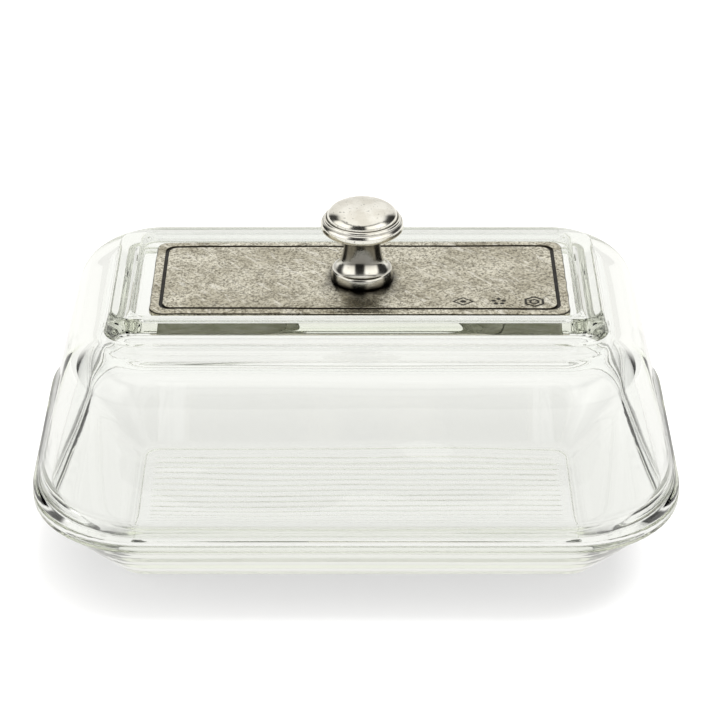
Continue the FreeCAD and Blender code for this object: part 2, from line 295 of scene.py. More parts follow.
def shoulder_rows(foot, edge, top, reach):
    """Profile points that round off the edge between a leaning wall and a nearly level top."""
    start = blend(edge, foot, reach / (edge[3] - foot[3]))
    end = blend(edge, top, reach / (edge[0] - top[0]))
    first = blend(start, edge, SHOULDER_TENSION)
    second = blend(end, edge, SHOULDER_TENSION)
    points = []
    for index in range(SHOULDER_STEPS + 1):
        t = index / SHOULDER_STEPS
        along = zip(start[:4], first[:4], second[:4], end[:4])
        shares = ((1 - t) ** 3, 3 * t * (1 - t) ** 2, 3 * t ** 2 * (1 - t), t ** 3)
        points.append((*(sum(size * share for size, share in zip(sizes, shares)) for sizes in along), 0))
    return points


def make_dish():
    ledge_z = LAND_Z - LEDGE_DEPTH
    lip_z = LAND_Z - DISH_LIP_HEIGHT
    rim = (RIM_X, RIM_Y, RIM_CORNER)
    opening = inset(rim, LAND_WIDTH)
    foot = (RIM_X - DISH_FLARE_X, RIM_Y - DISH_FLARE_Y, FOOT_CORNER)
    inner_floor = inset(foot, FLOOR_INSET, 3.6)
    underside = inset(foot, UNDERSIDE_INSET, 3.2)
    profile = [
        (*inset(inner_floor, HEEL_REACH, 1.4), FLOOR_Z, 0),
        (*inner_floor, FLOOR_Z, HEEL_REACH),
        (*inset(opening, LEDGE_WIDTH), ledge_z, 1.2),
        (*opening, ledge_z, 0.5),
        (*opening, LAND_Z, 0.6),
        (*rim, LAND_Z, 1.0),
        (*rim, lip_z, 0.9),
        (*inset(rim, DISH_LIP_STEP), lip_z - DISH_LIP_SLOPE, 0.9),
        (*inset(foot, -0.1), FOOT_BEVEL, 0.9),
        (*inset(foot, FOOT_RING[0]), 0, 0.6),
        (*inset(foot, FOOT_RING[1], 3.0), 0, 0.35),
        (*underside, FOOT_RECESS, 0.35),
        (*inset(underside, 0.9, 0.4), FOOT_RECESS, 0),
    ]
    rows = rounded_profile(profile, 2.4)
    rows = cap_rows(rows[0], 22) + rows + cap_rows(rows[-1], 90)[::-1]
    dish = lofted_piece("glass_dish", rows, (76, 88, 13))
    ripple(dish, (44, 34, 15), 0.05, 3.7)
    add_ribs(dish, underside)
    return dish


def add_ribs(dish, underside):
    """Fine, slightly wavy ribs along X that stand down from the recessed underside."""
    points = coordinates(dish)
    on_underside = (np.abs(points[:, 2] - FOOT_RECESS) < 0.2) & (normals(dish)[:, 2] < -0.9)
    sway = np.array([noise.noise(Vector((x / 30, y / 14, 0.4))) for x, y, _ in points])
    wobble = np.array([noise.noise(Vector((x / 9, y / 6, 7.4))) for x, y, _ in points])
    ridge = 0.5 + 0.5 * np.cos(2 * math.pi * (points[:, 1] + 0.7 * sway + 0.1 * wobble) / RIB_PITCH)
    fade = np.ones(len(points))
    for axis in range(2):
        end = underside[axis] - RIB_MARGIN[axis]
        fade *= 1 - smoothstep(np.abs(points[:, axis]), end - RIB_FADE[axis], end)
    points[:, 2] -= np.where(on_underside, RIB_HEIGHT * ridge * fade, 0)
    set_coordinates(dish, points)


def make_cover():
    top_z = cover_high[2]
    lip_z = cover_low[2]
    seat_z = LAND_Z + SEAT_GAP
    edge_z = LAND_Z + COVER_WALL_HEIGHT
    rim = (*cover_high[:2], RIM_CORNER)
    wall_foot = (rim[0] - BEAD_STEP, rim[1] - BEAD_STEP, WALL_CORNER, seat_z + WALL_RISE)
    edge = (wall_foot[0] - COVER_DRAFT_X, wall_foot[1] - COVER_DRAFT_Y, SHOULDER_CORNER, edge_z)
    top = (*inset(edge, TOP_FLAT_X), edge_z + TOP_RISE / 2)
    platform_foot = (
        edge[0] - TOP_FLAT_X, edge[1] - TOP_FLAT_Y,
        PLATFORM_CORNER + PLATFORM_FLARE, edge_z + TOP_RISE,
    )
    platform = (*inset(platform_foot, PLATFORM_FLARE), top_z)
    recess = (platform[0] - FRAME_X, platform[1] - FRAME_Y, RECESS_CORNER, RECESS_Z)
    inner_foot = (*inset(wall_foot, COVER_GLASS), wall_foot[3])
    inner_edge = (*inset(edge, COVER_GLASS), edge_z - COVER_GLASS)
    inner_top = (*inset(top, COVER_GLASS), top[3] - COVER_GLASS)
    inner_step = (*inset(platform_foot, COVER_GLASS)[:2], STEP_CORNER, platform_foot[3] - COVER_GLASS)
    ceiling = (*inset(platform, COVER_GLASS)[:2], CEILING_CORNER, RECESS_Z - COVER_GLASS)
    profile = [
        (*inset(recess, 1.5, 1.2), RECESS_Z, 0),
        (*recess, 0.6),
        (*inset(recess, -0.25, -0.2), top_z, 0.8),
        (*platform, 1.1),
        (*platform_foot, 1.5),
        *shoulder_rows(wall_foot, edge, top, SHOULDER_REACH)[::-1],
        (*wall_foot, 1.6),
        (*rim, seat_z + BEAD_HEIGHT, 0.9),
        (*rim, seat_z, EDGE_ROUND),
        (*inset(rim, LIP_INSET - 0.1, LIP_INSET), seat_z, 0.4),
        (*inset(rim, LIP_INSET), lip_z, EDGE_ROUND),
        (*inset(rim, MOUTH_INSET), lip_z, EDGE_ROUND),
        (*inner_foot, 1.2),
        *shoulder_rows(inner_foot, inner_edge, inner_top, SHOULDER_REACH - COVER_GLASS / 2),
        (*inner_step, 1.5),
        (*ceiling, 1.4),
        (*inset(ceiling, 3.0, 1.5), ceiling[3], 0),
    ]
    rows = rounded_profile(profile, 2.2)
    rows = cap_rows(rows[0], 22) + rows + cap_rows(rows[-1], 26)[::-1]
    cover = lofted_piece("cover_glass", rows, (84, 56, 16))
    points = coordinates(cover)
    in_recess = (points[:, 2] > RECESS_Z - 0.5) & (np.abs(points[:, 0]) < recess[0] - 0.4)
    in_recess &= np.abs(points[:, 1]) < recess[1] - 0.4
    ripple(cover, (46, 40, 15), 0.06, 8.1, np.where(in_recess, 0.0, 1.0))
    return cover


def make_bond(name, box, side):
    """A squeezed-out bond pad with an uneven edge towards the middle of the plate."""
    low, high = box
    middle = (low + high) / 2
    half_x, half_y = (high - low)[:2] / 2
    outline = rounded_rectangle(half_x, half_y, 2.0, (40, 60, 6))
    inward = smoothstep(-side * outline[:, 0], half_x * 0.2, half_x)
    bite = np.array([noise.noise(Vector((7.0, y / 6.0, side))) for y in outline[:, 1]])
    slant = outline[:, 1] / half_y
    outline[:, 0] += side * inward * (3.0 + 5.0 * bite - 5.0 * slant)
    rings = []
    widening = (0.3, 0.7, 1.0)
    for z, scales in ((low[2], widening), (high[2], widening[::-1])):
        for scale in scales:
            rings.append(np.column_stack([outline * scale + middle[:2], np.full(len(outline), z)]))
    start = np.array([*middle[:2], low[2]])
    return closed_mesh(name, rings, start, np.array([*middle[:2], high[2]]))


# ---------------------------------------------------------------- pewter plate and knob

PLATE_CORNER = 3.8
PLATE_DEPTH_TAPER = 0.016     # the hand-cut plate is this much deeper at its +X end
GROOVE_INSET = 3.2
GROOVE_WIDTH = 1.1
GROOVE_DEPTH = 0.38
MARK_Y = -15.0                # row of small punch marks, from the plate's middle
MARK_FIRST_X = 29.0
MARK_SPACING = 10.0
MARK_X = [MARK_FIRST_X + MARK_SPACING * index for index in range(3)]
MARK_DEPTH = 0.16
CREASE_SEED = 4
CREASE_COUNT = 14
CREASE_RUNS = 4               # straight runs that a crease is made of
CREASE_RUN = (0.8, 4.5)       # shortest and longest run
CREASE_HEADING = 0.7          # a crease starts out within this angle of X, in radians
CREASE_TURN = 0.5             # most that it turns from one run to the next
CREASE_HALF_WIDTH = (0.13, 0.24)
CREASE_STRENGTH = (0.45, 0.85)
CREASE_DEPTH = 0.13


def casting_creases(half_x, half_y):
    """Bent lines strewn over the plate's face, as (half width, strength, points)."""
    draw = random.Random(CREASE_SEED)
    creases = []
    for _ in range(CREASE_COUNT):
        half_width = draw.uniform(*CREASE_HALF_WIDTH)
        strength = draw.uniform(*CREASE_STRENGTH)
        run = draw.uniform(*CREASE_RUN)
        heading = draw.uniform(-CREASE_HEADING, CREASE_HEADING)
        point = np.array([draw.uniform(-half_x, half_x), draw.uniform(-half_y, half_y)])
        line = [point]
        for _ in range(CREASE_RUNS):
            heading += draw.uniform(-CREASE_TURN, CREASE_TURN)
            point = point + run * np.array([math.cos(heading), math.sin(heading)])
            line.append(point)
        creases.append((half_width, strength, line))
    return creases


def distance_to_line(flat, points):
    """Distance of each flat point from a line of straight runs."""
    nearest = np.full(len(flat), 1e9)
    for start, end in zip(points, points[1:]):
        run = end - start
        share = np.clip(((flat - start) @ run) / (run @ run), 0, 1)
        nearest = np.minimum(nearest, np.hypot(*(flat - start - share[:, None] * run).T))
    return nearest


def make_plate():
    half_x, half_y = (plate_high - plate_low)[:2] / 2
    top = PLATE_TOP_Z
    bottom = plate_low[2] + CLEARANCE
    inner = GROOVE_INSET + GROOVE_WIDTH / 2
    outer = GROOVE_INSET - GROOVE_WIDTH / 2

    def row(margin, z, reach):
        return (half_x - margin, half_y - margin, max(PLATE_CORNER - margin * 0.25, 1.0), z, reach)

    profile = [
        row(inner + 0.5, top, 0),
        row(inner, top, 0.12),
        row(GROOVE_INSET + 0.20, top - GROOVE_DEPTH, 0.12),
        row(GROOVE_INSET - 0.20, top - GROOVE_DEPTH, 0.12),
        row(outer, top, 0.12),
        row(0.0, top, 0.45),
        row(0.05, bottom, 0.3),
        row(1.5, bottom, 0),
    ]
    rows = rounded_profile(profile, 0.6)
    rows = cap_rows(rows[0], 70) + rows + cap_rows(rows[-1], 12)[::-1]
    plate = lofted_piece("pewter_plate", rows, (250, 96, 8))
    refine_marks(plate)
    points = coordinates(plate)
    flat = points[:, :2].copy()
    on_top = smoothstep(points[:, 2], bottom + 0.6, top - 0.9)
    on_face = points[:, 2] > top - 0.02

    def waves(size_x, size_y, seed):
        return np.array([noise.noise(Vector((x / size_x, y / size_y, seed))) for x, y in flat])

    groove = smoothstep(top - points[:, 2], 0.0, 0.08) * (points[:, 2] > top - GROOVE_DEPTH - 0.05)
    marks = np.array([punch_marks(x, y) for x, y in flat]) * on_face
    creases = np.zeros(len(flat))
    broken = 0.65 + 0.7 * waves(1.6, 1.6, 4.0)
    for half_width, strength, line in casting_creases(half_x, half_y):
        shape = 1 - smoothstep(distance_to_line(flat, line), half_width * 0.4, half_width * 2)
        creases = np.maximum(creases, strength * shape * np.clip(broken, 0, 1) * on_face)
    slow = waves(17, 11, 5.0)
    dents = waves(5.2, 4.4, 9.0)
    wander = waves(7, 7, 2.0)
    edge = np.minimum(half_x - np.abs(flat[:, 0]), half_y - np.abs(flat[:, 1]))
    points[:, 2] += on_top * (0.12 * slow + 0.05 * dents - 0.12 * smoothstep(1.2 - edge, 0, 1.2))
    points[:, 2] -= marks * MARK_DEPTH + creases * CREASE_DEPTH
    points[:, 2] = np.minimum(points[:, 2], top)
    near_edge = smoothstep(2.2 - edge, 0, 2.2)
    points[:, 0] -= np.sign(flat[:, 0]) * np.abs(wander) * 0.30 * near_edge
    points[:, 1] -= np.sign(flat[:, 1]) * np.abs(wander) * 0.22 * near_edge
    points[:, 1] *= 1 - PLATE_DEPTH_TAPER * (1 - flat[:, 0] / half_x)
    points[:, :2] += PLATE_CENTRE[:2]
    set_coordinates(plate, points)
    from_knob = np.hypot(*(points[:, :2] - KNOB_CENTRE[:2]).T)
    # Patina in the groove, and a painted shade ring that hugs the knob's foot.
    patina_and_painted_shade = np.maximum(groove, 0.85 * (1 - smoothstep(from_knob, 8.9, 10.6)))
    # Painted reflection of the knob's dark underside and painted shade round its foot, reaching further
    # towards the front.
    front = smoothstep(KNOB_CENTRE[1] - points[:, 1], 2.0, 9.0)
    painted_reflection_and_shade_round_knob = 0.75 * (1 - smoothstep(from_knob, 9.5, 11.5 + 5.5 * front)) * (points[:, 2] > top - 0.3)
    patina_and_painted_shade = np.maximum(patina_and_painted_shade, painted_reflection_and_shade_round_knob * (0.75 + 0.6 * waves(3.0, 3.0, 6.0)))
    # Marks and creases add their patina; the stored value holds patina and painted shade together.
    store(plate, "patina_and_painted_shade", np.maximum(patina_and_painted_shade, np.maximum(marks, creases)))
    return plate


def punch_marks(x, y):
    """How deep the plate is punched at a point, from 0 to 1: three plain marks in a row."""
    def stroke(distance, half_width):
        return max(0.0, 1 - max(0.0, abs(distance) - half_width) / 0.2)

    y = y - MARK_Y
    depth = 0.0
    across = x - MARK_X[0]
    if abs(across) < 4 and abs(y) < 4:
        diamond = abs(across) * 0.8 + abs(y)
        depth = max(depth, stroke(diamond - 2.2, 0.26), stroke(math.hypot(across, y), 0.75))
    across = x - MARK_X[1]
    if abs(across) < 4 and abs(y) < 4:
        for petal in range(5):
            turn = 2 * math.pi * petal / 5 + math.pi / 2
            dot = math.hypot(across - 1.5 * math.cos(turn), y - 1.5 * math.sin(turn))
            depth = max(depth, stroke(dot, 0.55))
    across = x - MARK_X[2]
    if abs(across) < 4 and abs(y) < 4:
        hexagon = max(abs(across), abs(across) * 0.5 + abs(y) * 0.866)
        depth = max(depth, stroke(hexagon - 2.4, 0.26), stroke(hexagon - 1.1, 0.24))
    return depth


def refine_marks(plate):
    """Small faces where the punch marks go."""
    work = bmesh.new()
    work.from_mesh(plate.data)
    top = PLATE_TOP_Z * MM - 1e-6
    for _ in range(2):
        edges = set()
        for face in work.faces:
            middle = face.calc_center_median() / MM
            in_marks = MARK_X[0] - 3.3 < middle.x < MARK_X[2] + 3.3 and abs(middle.y - MARK_Y) < 3.1
            if in_marks and middle.z * MM > top:
                edges.update(face.edges)
        bmesh.ops.subdivide_edges(work, edges=list(edges), cuts=1, use_grid_fill=True)
    work.to_mesh(plate.data)
    work.free()
    plate.data.shade_smooth()


def spline_through(points, steps):
    """A smooth curve through (radius, height) points."""
    knots = [np.array(point, dtype=float) for point in points]
    knots = [2 * knots[0] - knots[1], *knots, 2 * knots[-1] - knots[-2]]
    curve = []
    for p0, p1, p2, p3 in zip(knots, knots[1:], knots[2:], knots[3:]):
        for index in range(steps):
            t = index / steps
            curve.append(0.5 * (
                2 * p1 + (p2 - p0) * t + (2 * p0 - 5 * p1 + 4 * p2 - p3) * t ** 2
                + (3 * p1 - p0 - 3 * p2 + p3) * t ** 3
            ))
    curve.append(knots[-2])
    return curve


def knob_profile():
    """(radius, height above the plate) from the middle of the foot up to the top of the dome."""
    height = (knob_high - knob_low)[2]
    cap = (knob_high - knob_low)[0] / 2
    foot = [
        (1.7, 0), (8.6, 0), (8.85, 0.12), (8.9, 0.4), (8.78, 1.5), (8.6, 2.6), (8.5, 2.95),
        (8.35, 3.12), (8.15, 3.18),
    ]
    waist = spline_through([
        foot[-1], (7.7, 3.42), (7.05, 4.05), (6.4, 5.0), (5.9, 6.1), (5.52, 7.6), (5.3, 9.3),
        (5.28, 11.2), (5.6, 12.8), (6.5, 13.9), (8.0, 14.7), (9.6, 15.15),
    ], 8)
    band = spline_through([
        (9.6, 15.15), (10.9, 15.35), (11.5, 15.75), (cap - 0.03, 16.3), (cap, 16.9), (11.7, 17.5),
        (11.4, 18.05), (11.12, 18.3),
    ], 6)
    step = [
        (11.0, 18.28), (10.93, 18.4), (10.93, 18.62), (10.85, 18.9), (10.65, 19.1), (10.4, 19.17),
        (10.18, 19.1), (10.08, 18.92), (10.02, 18.9), (9.98, 19.05),
    ]
    dome_radius, dome_base = step[-1]
    fullness = 2 / 2.3            # 2 / 2 would be an ellipse, less is squarer
    dome_steps = 32
    dome = []
    for index in range(dome_steps + 1):
        angle = math.pi / 2 * index / dome_steps
        radius = dome_radius * max(math.cos(angle), 0.0) ** fullness
        rise = (height - dome_base) * math.sin(angle) ** fullness
        dome.append((radius, dome_base + rise))
    outline = [*foot, *waist[1:], *band[1:], *step, *dome[1:-1]]
    return [np.array(point, dtype=float) for point in outline], height


def make_knob():
    outline, height = knob_profile()
    rings = []
    for radius, z in outline:
        ring = circle(radius, 144)
        rings.append(np.column_stack([ring, np.full(len(ring), z)]) + [*KNOB_CENTRE[:2], PLATE_TOP_Z])
    start = np.array([*KNOB_CENTRE[:2], PLATE_TOP_Z])
    knob = closed_mesh("pewter_knob", rings, start, start + [0, 0, height])
    ripple(knob, (6, 6, 4), 0.03, 1.3)
    points = coordinates(knob) - [0, 0, PLATE_TOP_Z]
    radius = np.hypot(*(points[:, :2] - KNOB_CENTRE[:2]).T)
    rise = points[:, 2]
    in_groove = np.exp(-((rise - 19.0) / 0.25) ** 2 - ((radius - 10.05) / 0.22) ** 2)
    in_line = np.exp(-((rise - 18.3) / 0.16) ** 2 - ((radius - 11.0) / 0.2) ** 2)
    # Painted shade and reflection: darker under the cap, along the foot's base, in the cove, over the
    # neck and over the foot.
    under_cap = smoothstep(rise, 12.6, 14.2) * (1 - smoothstep(rise, 15.2, 15.8)) * (radius < 10.9)
    at_foot = 1 - smoothstep(rise, 0.1, 0.7)
    in_cove = np.exp(-((rise - 3.4) / 0.4) ** 2) * (radius < 8.1)
    on_neck = 0.74 * smoothstep(rise, 4.5, 7.5) * (1 - smoothstep(rise, 14.0, 15.0)) * (radius < 9.0)
    on_foot = 0.62 * (1 - smoothstep(rise, 1.6, 3.4))
    # Patina in the groove and the fine line, plus the painted shade and reflection above.
    dark = in_groove + 0.6 * in_line + 0.5 * under_cap + 0.8 * at_foot + 0.4 * in_cove + on_neck + on_foot
    store(knob, "patina_and_painted_shade", np.clip(dark, 0, 1))
    return knob


# ---------------------------------------------------------------- materials

class Nodes:
    """Short ways to add and join the nodes of one material or world."""

    def __init__(self, tree):
        self.tree = tree
        tree.nodes.clear()

    def add(self, kind, inputs=None, **settings):
        node = self.tree.nodes.new(kind)
        for name, value in settings.items():
            setattr(node, name, value)
        for name, value in (inputs or {}).items():
            self.set(node.inputs[name], value)
        return node

    def set(self, socket, value):
        if isinstance(value, bpy.types.NodeSocket):
            self.tree.links.new(value, socket)
        else:
            socket.default_value = value

    def math(self, operation, *values, clamp=False):
        node = self.add("ShaderNodeMath", operation=operation, use_clamp=clamp)
        for index, value in enumerate(values):
            self.set(node.inputs[index], value)
        return node.outputs[0]

    def ramp(self, value, low, high, to_low=0.0, to_high=1.0):
        node = self.add("ShaderNodeMapRange", interpolation_type="SMOOTHSTEP", inputs={
            "Value": value, "From Min": low, "From Max": high, "To Min": to_low, "To Max": to_high,
        })
        return node.outputs["Result"]

    def mix(self, factor, first, second):
        node = self.add("ShaderNodeMix", data_type="RGBA")
        self.set(node.inputs[0], factor)
        self.set(node.inputs[6], first)
        self.set(node.inputs[7], second)
        return node.outputs[2]

    def stretched(self, scale, turn=0.0):
        """Object coordinates, in metres, turned about Z and then times a scale per axis."""
        where = self.add("ShaderNodeTexCoord").outputs["Object"]
        turned = self.add("ShaderNodeMapping", inputs={"Vector": where, "Rotation": (0.0, 0.0, turn)})
        scaled = self.add("ShaderNodeMapping", inputs={"Vector": turned.outputs[0], "Scale": scale})
        return scaled.outputs[0]

    def noise(self, scale, detail=2.0, rough=0.5, distortion=0.0, turn=0.0):
        node = self.add("ShaderNodeTexNoise", inputs={
            "Vector": self.stretched(scale, turn), "Scale": 1.0, "Detail": detail, "Roughness": rough,
            "Distortion": distortion,
        })
        return node.outputs["Fac"]

    def bump(self, height, strength, distance, normal=None):
        node = self.add("ShaderNodeBump", inputs={
            "Height": height, "Strength": strength, "Distance": distance,
        })
        if normal is not None:
            self.set(node.inputs["Normal"], normal)
        return node.outputs[0]


def new_material(name):
    material = bpy.data.materials.new(name)
    material.use_nodes = True
    return material, Nodes(material.node_tree)


def finish_material(nodes, surface, volume=None):
    output = nodes.add("ShaderNodeOutputMaterial", inputs={"Surface": surface})
    if volume is not None:
        nodes.set(output.inputs["Volume"], volume)


def glass_material():
    """Pressed soda-lime glass: clear, a little rippled, faintly green through its thickness."""
    material, nodes = new_material("pressed_glass")
    normal = nodes.bump(nodes.noise((22, 22, 90), detail=1.0), 0.05, 0.0006)
    shader = nodes.add("ShaderNodeBsdfPrincipled", inputs={
        "Base Color": (0.985, 0.992, 0.988, 1), "Roughness": 0.0, "IOR": 1.5,
        "Transmission Weight": 1.0, "Normal": normal,
    })
    absorption = nodes.add("ShaderNodeVolumeAbsorption", inputs={
        "Color": (0.84, 0.90, 0.62, 1), "Density": 5.0,
    })
    finish_material(nodes, shader.outputs[0], absorption.outputs[0])
    return material


def plate_material():
    """Cast pewter, worn by hand: grey with a warm cast, pitted and scratched, black in the cuts, with
    painted shade and a painted reflection of the knob's dark underside round the knob's foot.
    """
    material, nodes = new_material("cast_pewter")
    patina_and_painted_shade = nodes.add("ShaderNodeAttribute", attribute_name="patina_and_painted_shade").outputs["Fac"]
    clouds = nodes.noise((60, 75, 60), detail=3.0, distortion=0.6)
    grain = nodes.noise((1350, 1350, 1350), detail=5.0, rough=0.8)
    blotches = nodes.noise((210, 260, 210), detail=5.0, rough=0.7)
    scores = nodes.noise((130, 1100, 130), detail=4.0, rough=0.7, distortion=0.5, turn=-0.5)
    rubbed = nodes.noise((160, 700, 160), detail=3.0, rough=0.6, distortion=0.8, turn=0.9)
    pits = nodes.ramp(nodes.noise((1250, 1250, 1250), detail=2.0, rough=0.6), 0.33, 0.40, 1.0, 0.0)
    tone = nodes.mix(nodes.ramp(clouds, 0.30, 0.70), (0.58, 0.54, 0.42, 1), (0.90, 0.86, 0.72, 1))
    tone = nodes.mix(nodes.ramp(grain, 0.38, 0.56, 0.90, 0.0), tone, (0.13, 0.11, 0.07, 1))
    tone = nodes.mix(nodes.ramp(grain, 0.54, 0.70, 0.0, 0.5), tone, (0.90, 0.87, 0.77, 1))
    tone = nodes.mix(nodes.ramp(blotches, 0.52, 0.70, 0.0, 0.65), tone, (0.20, 0.175, 0.12, 1))
    tone = nodes.mix(nodes.ramp(scores, 0.55, 0.68, 0.0, 0.6), tone, (0.17, 0.15, 0.10, 1))
    tone = nodes.mix(nodes.ramp(rubbed, 0.54, 0.70, 0.0, 0.6), tone, (0.95, 0.92, 0.83, 1))
    # The stored value is patina in the cuts plus painted shade and reflection round the knob; both go
    # near black here.
    dark = nodes.math("MAXIMUM", nodes.math("MULTIPLY", pits, 0.6), patina_and_painted_shade, clamp=True)
    tone = nodes.mix(dark, tone, (0.014, 0.011, 0.007, 1))
    relief = nodes.math("SUBTRACT", nodes.math("MULTIPLY", grain, 0.7), nodes.math("MULTIPLY", dark, 0.6))
    normal = nodes.bump(relief, 0.30, 0.00012)
    normal = nodes.bump(nodes.noise((260, 260, 260), detail=2.0), 0.12, 0.0003, normal)
    roughness = nodes.ramp(blotches, 0.35, 0.65, 0.17, 0.28)
    shader = nodes.add("ShaderNodeBsdfPrincipled", inputs={
        "Base Color": tone, "Metallic": 1.0, "Roughness": roughness, "Normal": normal,
    })
    finish_material(nodes, shader.outputs[0])
    return material


def knob_material():
    """Turned and polished pewter, with fine tool lines and patina in its grooves, and painted shade and
    reflection darkening its neck, its foot, its cove and the underside of its cap.
    """
    material, nodes = new_material("polished_pewter")
    patina_and_painted_shade = nodes.add("ShaderNodeAttribute", attribute_name="patina_and_painted_shade").outputs["Fac"]
    lines = nodes.noise((40, 40, 5200), detail=2.0, rough=0.6)
    smudges = nodes.noise((210, 210, 160), detail=3.0)
    pits = nodes.ramp(nodes.noise((1300, 1300, 1300), detail=1.0), 0.27, 0.32, 1.0, 0.0)
    tone = nodes.mix(nodes.ramp(smudges, 0.35, 0.65), (0.78, 0.75, 0.67, 1), (0.94, 0.92, 0.85, 1))
    # The stored value is patina in the grooves plus painted shade and reflection on the neck, foot, cove
    # and under the cap.
    dark = nodes.math("MAXIMUM", patina_and_painted_shade, nodes.math("MULTIPLY", pits, 0.5), clamp=True)
    tone = nodes.mix(dark, tone, (0.018, 0.014, 0.010, 1))
    normal = nodes.bump(lines, 0.10, 0.00004)
    normal = nodes.bump(smudges, 0.06, 0.0003, normal)
    roughness = nodes.ramp(smudges, 0.35, 0.65, 0.13, 0.20)
    shader = nodes.add("ShaderNodeBsdfPrincipled", inputs={
        "Base Color": tone, "Metallic": 1.0, "Roughness": roughness, "Normal": normal,
    })
    finish_material(nodes, shader.outputs[0])
    return material


def bond_material():
    """Cured bond: pale olive grey, mottled, with paler voids where it has drawn away."""
    material, nodes = new_material("cured_bond")
    clouds = nodes.noise((160, 420, 300), detail=5.0, rough=0.75)
    specks = nodes.noise((1600, 1600, 1600), detail=2.0, rough=0.7)
    tone = nodes.mix(nodes.ramp(clouds, 0.38, 0.64), (0.60, 0.62, 0.40, 1), (0.95, 0.96, 0.78, 1))
    tone = nodes.mix(nodes.ramp(specks, 0.40, 0.62, 0.0, 0.5), tone, (0.85, 0.85, 0.70, 1))
    shader = nodes.add("ShaderNodeBsdfPrincipled", inputs={
        "Base Color": tone, "Roughness": 0.6, "Normal": nodes.bump(specks, 0.2, 0.0001),
    })
    finish_material(nodes, shader.outputs[0])
    return material


def screw_material():
    """Zinc-plated steel, lightly brushed."""
    material, nodes = new_material("plated_steel")
    lines = nodes.noise((300, 300, 3000), detail=2.0)
    tone = nodes.mix(nodes.ramp(lines, 0.35, 0.65), (0.52, 0.53, 0.53, 1), (0.66, 0.67, 0.68, 1))
    shader = nodes.add("ShaderNodeBsdfPrincipled", inputs={
        "Base Color": tone, "Metallic": 1.0, "Roughness": nodes.ramp(lines, 0.3, 0.7, 0.22, 0.34),
        "Normal": nodes.bump(lines, 0.15, 0.00005),
    })
    finish_material(nodes, shader.outputs[0])
    return material


# ---------------------------------------------------------------- stage, light and camera

FLOOR_HALF = 4.0              # half the floor's side, in metres
FLOOR_DROP = 0.15             # the floor lies this far below the foot, in millimetres
FLOOR_GLOW = 0.535            # light that the floor itself gives the camera, so shadows stay light
GLOW_IN_GLASS = (0.86, 0.93)  # the same for other rays, before and beyond the range below
GLOW_RANGE_Y = (0.07, 0.18)   # in metres; it lies behind the dish
KEY_SIZE = (1.1, 0.8)         # in metres
KEY_POWER = 24.0              # in watts
KEY_PLACE = (0.38, 0.12, 1.22)


def add_floor():
    """A white table. The camera sees it with a light, soft shadow. Rays that come through the glass
    or by reflection see it evenly lit instead, and a little brighter behind the dish."""
    half = FLOOR_HALF
    mesh = bpy.data.meshes.new("floor")
    z = -FLOOR_DROP * MM
    corners = [(-half, -half, z), (half, -half, z), (half, half, z), (-half, half, z)]
    mesh.from_pydata(corners, [], [(0, 1, 2, 3)])
    floor = bpy.data.objects.new("floor", mesh)
    bpy.context.scene.collection.objects.link(floor)
    material, nodes = new_material("white_floor")
    shaded = nodes.add("ShaderNodeBsdfDiffuse", inputs={"Color": (0.40, 0.40, 0.402, 1)})
    base = nodes.add("ShaderNodeEmission", inputs={"Color": (1.0, 1.0, 1.0, 1), "Strength": FLOOR_GLOW})
    plain = nodes.add("ShaderNodeAddShader")
    nodes.set(plain.inputs[0], base.outputs[0])
    nodes.set(plain.inputs[1], shaded.outputs[0])
    dim = nodes.add("ShaderNodeBsdfDiffuse", inputs={"Color": (0.04, 0.04, 0.04, 1)})
    place_on_floor = nodes.add("ShaderNodeNewGeometry").outputs["Position"]
    behind = nodes.add("ShaderNodeSeparateXYZ", inputs={"Vector": place_on_floor}).outputs["Y"]
    even = nodes.add("ShaderNodeEmission", inputs={
        "Color": (1.0, 0.993, 0.968, 1), "Strength": nodes.ramp(behind, *GLOW_RANGE_Y, *GLOW_IN_GLASS),
    })
    lit = nodes.add("ShaderNodeAddShader")
    nodes.set(lit.inputs[0], dim.outputs[0])
    nodes.set(lit.inputs[1], even.outputs[0])
    seen = nodes.add("ShaderNodeLightPath").outputs["Is Camera Ray"]
    mix = nodes.add("ShaderNodeMixShader", inputs={"Fac": seen})
    nodes.set(mix.inputs[1], lit.outputs[0])
    nodes.set(mix.inputs[2], plain.outputs[0])
    finish_material(nodes, mix.outputs[0])
    mesh.materials.append(material)


# Each patch of the studio: heading from the camera's side and height above the table, in degrees,
# the softness of its edge, and its brightness in place of what is there.
STUDIO = [
    ((84, 138), (-8, 44), 16, 0.03),
    ((-138, -103), (-8, 44), 16, 0.04),
    ((-40, 14), (-8, 54), 16, 0.02),
    ((-105, -40), (-8, 4), 5, 0.16),
    ((14, 84), (-8, 4), 5, 0.16),
    ((-105, 84), (46, 56), 7, 0.16),
    ((-100, -40), (4, 46), 12, 1.25),
    ((16, 80), (4, 46), 12, 1.30),
]
BACK_LEVEL = 0.87
ROOF_LEVEL = 1.05
DIFFUSE_GAIN = 2.3            # the studio lights rough surfaces this much more than it is seen


